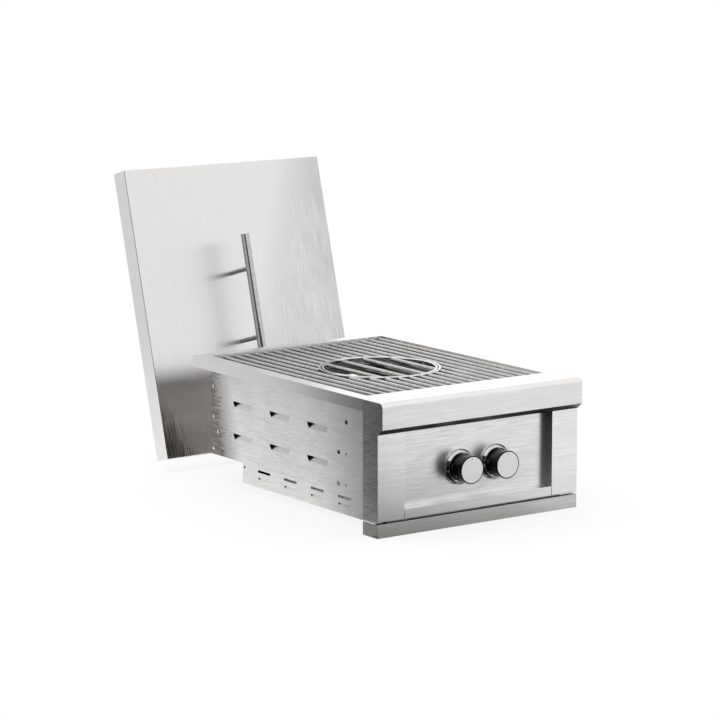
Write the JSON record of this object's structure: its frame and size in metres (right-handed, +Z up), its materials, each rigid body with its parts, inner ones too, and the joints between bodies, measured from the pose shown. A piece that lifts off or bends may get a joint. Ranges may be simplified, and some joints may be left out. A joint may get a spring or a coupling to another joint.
{
  "type": "built-in gas side burner",
  "caption": "Built-in gas side burner for an outdoor counter: rod grate with lift-out round centre, ring burners, push-and-turn knobs, pull-out drip tray and loose lid.",
  "frame": {"origin": "middle of the rear run of the counter flange, on its underside, where the deck rests on the counter", "axes": "+X to the right seen from the knobs, +Y from the knobs to the back, +Z up"},
  "size_m": [0.4754, 0.9415, 0.5995],
  "materials": {
    "brushed_stainless": "brushed",
    "liner_stainless": "brushed",
    "screw_steel": "polished",
    "polished_rod": "polished",
    "grate_bar": "satin",
    "cast_burner": "matte",
    "tube_steel": "satin",
    "brass": "satin",
    "ceramic": "glazed",
    "electrode_steel": "satin",
    "chrome": "polished",
    "brushed_face": "brushed",
    "satin_handle": "polished"
  },
  "bodies": {
    "burner": {"deck": "brushed_stainless", "left_end_cap": "brushed_stainless", "right_end_cap": "brushed_stainless", "left_post": "brushed_stainless", "right_post": "brushed_stainless", "bottom_rail": "brushed_stainless", "control_panel": "brushed_stainless", "left_side_panel": "liner_stainless", "right_side_panel": "liner_stainless", "rear_panel": "liner_stainless", "firebox_front": "liner_stainless", "firebox_floor": "liner_stainless", "vent_box": "liner_stainless", "front_ledge": "liner_stainless", "rear_ledge": "liner_stainless", "burner_stand": "liner_stainless", "tray_runners": "liner_stainless", "left_panel_screws": "screw_steel", "right_panel_screws": "screw_steel", "outer_burner": "cast_burner", "inner_burner": "cast_burner", "outer_mixer_tube": "tube_steel", "inner_mixer_tube": "tube_steel", "gas_manifold": "tube_steel", "left_valve": "brass", "right_valve": "brass", "left_orifice": "brass", "right_orifice": "brass", "gas_inlet_fitting": "brass", "inlet_lock_nut": "brass", "igniter_insulator": "ceramic", "igniter_electrode": "electrode_steel", "left_bezel": "chrome", "right_bezel": "chrome"},
    "grate": {"grate_rods": "polished_rod", "grate_cross_bars": "grate_bar", "grate_ring": "grate_bar"},
    "centre_grate": {"centre_ring": "grate_bar", "centre_rods": "polished_rod"},
    "drip_tray": {"tray_front": "brushed_stainless", "tray_pan": "liner_stainless"},
    "left_push": {"left_push_washer": "screw_steel"},
    "left_knob": {"left_knob_body": "chrome", "left_knob_face": "brushed_face", "left_valve_stem": "electrode_steel"},
    "right_push": {"right_push_washer": "screw_steel"},
    "right_knob": {"right_knob_body": "chrome", "right_knob_face": "brushed_face", "right_valve_stem": "electrode_steel"},
    "lid": {"lid_shell": "brushed_stainless", "lid_handle_bar": "satin_handle", "lid_handle_posts": "satin_handle", "lid_handle_screws": "screw_steel"}
  },
  "joints": [
    {"name": "grate_lift", "type": "slide", "parent": "burner", "child": "grate", "axis": [0, 0, 1], "range_m": [0, 0.1]},
    {"name": "centre_grate_lift", "type": "slide", "parent": "grate", "child": "centre_grate", "axis": [0, 0, 1], "range_m": [0, 0.08]},
    {"name": "drip_tray_slide", "type": "slide", "parent": "burner", "child": "drip_tray", "axis": [0, -1, 0], "range_m": [0, 0.42]},
    {"name": "lid_lift", "type": "slide", "parent": "burner", "child": "lid", "axis": [0, 0.2647, 0.9643], "range_m": [0, 0.3]},
    {"name": "left_knob_push", "type": "slide", "parent": "burner", "child": "left_push", "axis": [0, 1, 0], "range_m": [0, 0.0028], "stiffness_N_per_m": 1500},
    {"name": "left_knob_turn", "type": "hinge", "parent": "left_push", "child": "left_knob", "pos_m": [-0.034, -0.6022, -0.123], "axis": [0, -1, 0], "range_deg": [0, 225]},
    {"name": "right_knob_push", "type": "slide", "parent": "burner", "child": "right_push", "axis": [0, 1, 0], "range_m": [0, 0.0028], "stiffness_N_per_m": 1500},
    {"name": "right_knob_turn", "type": "hinge", "parent": "right_push", "child": "right_knob", "pos_m": [0.05, -0.6022, -0.123], "axis": [0, -1, 0], "range_deg": [0, 225]}
  ]
}
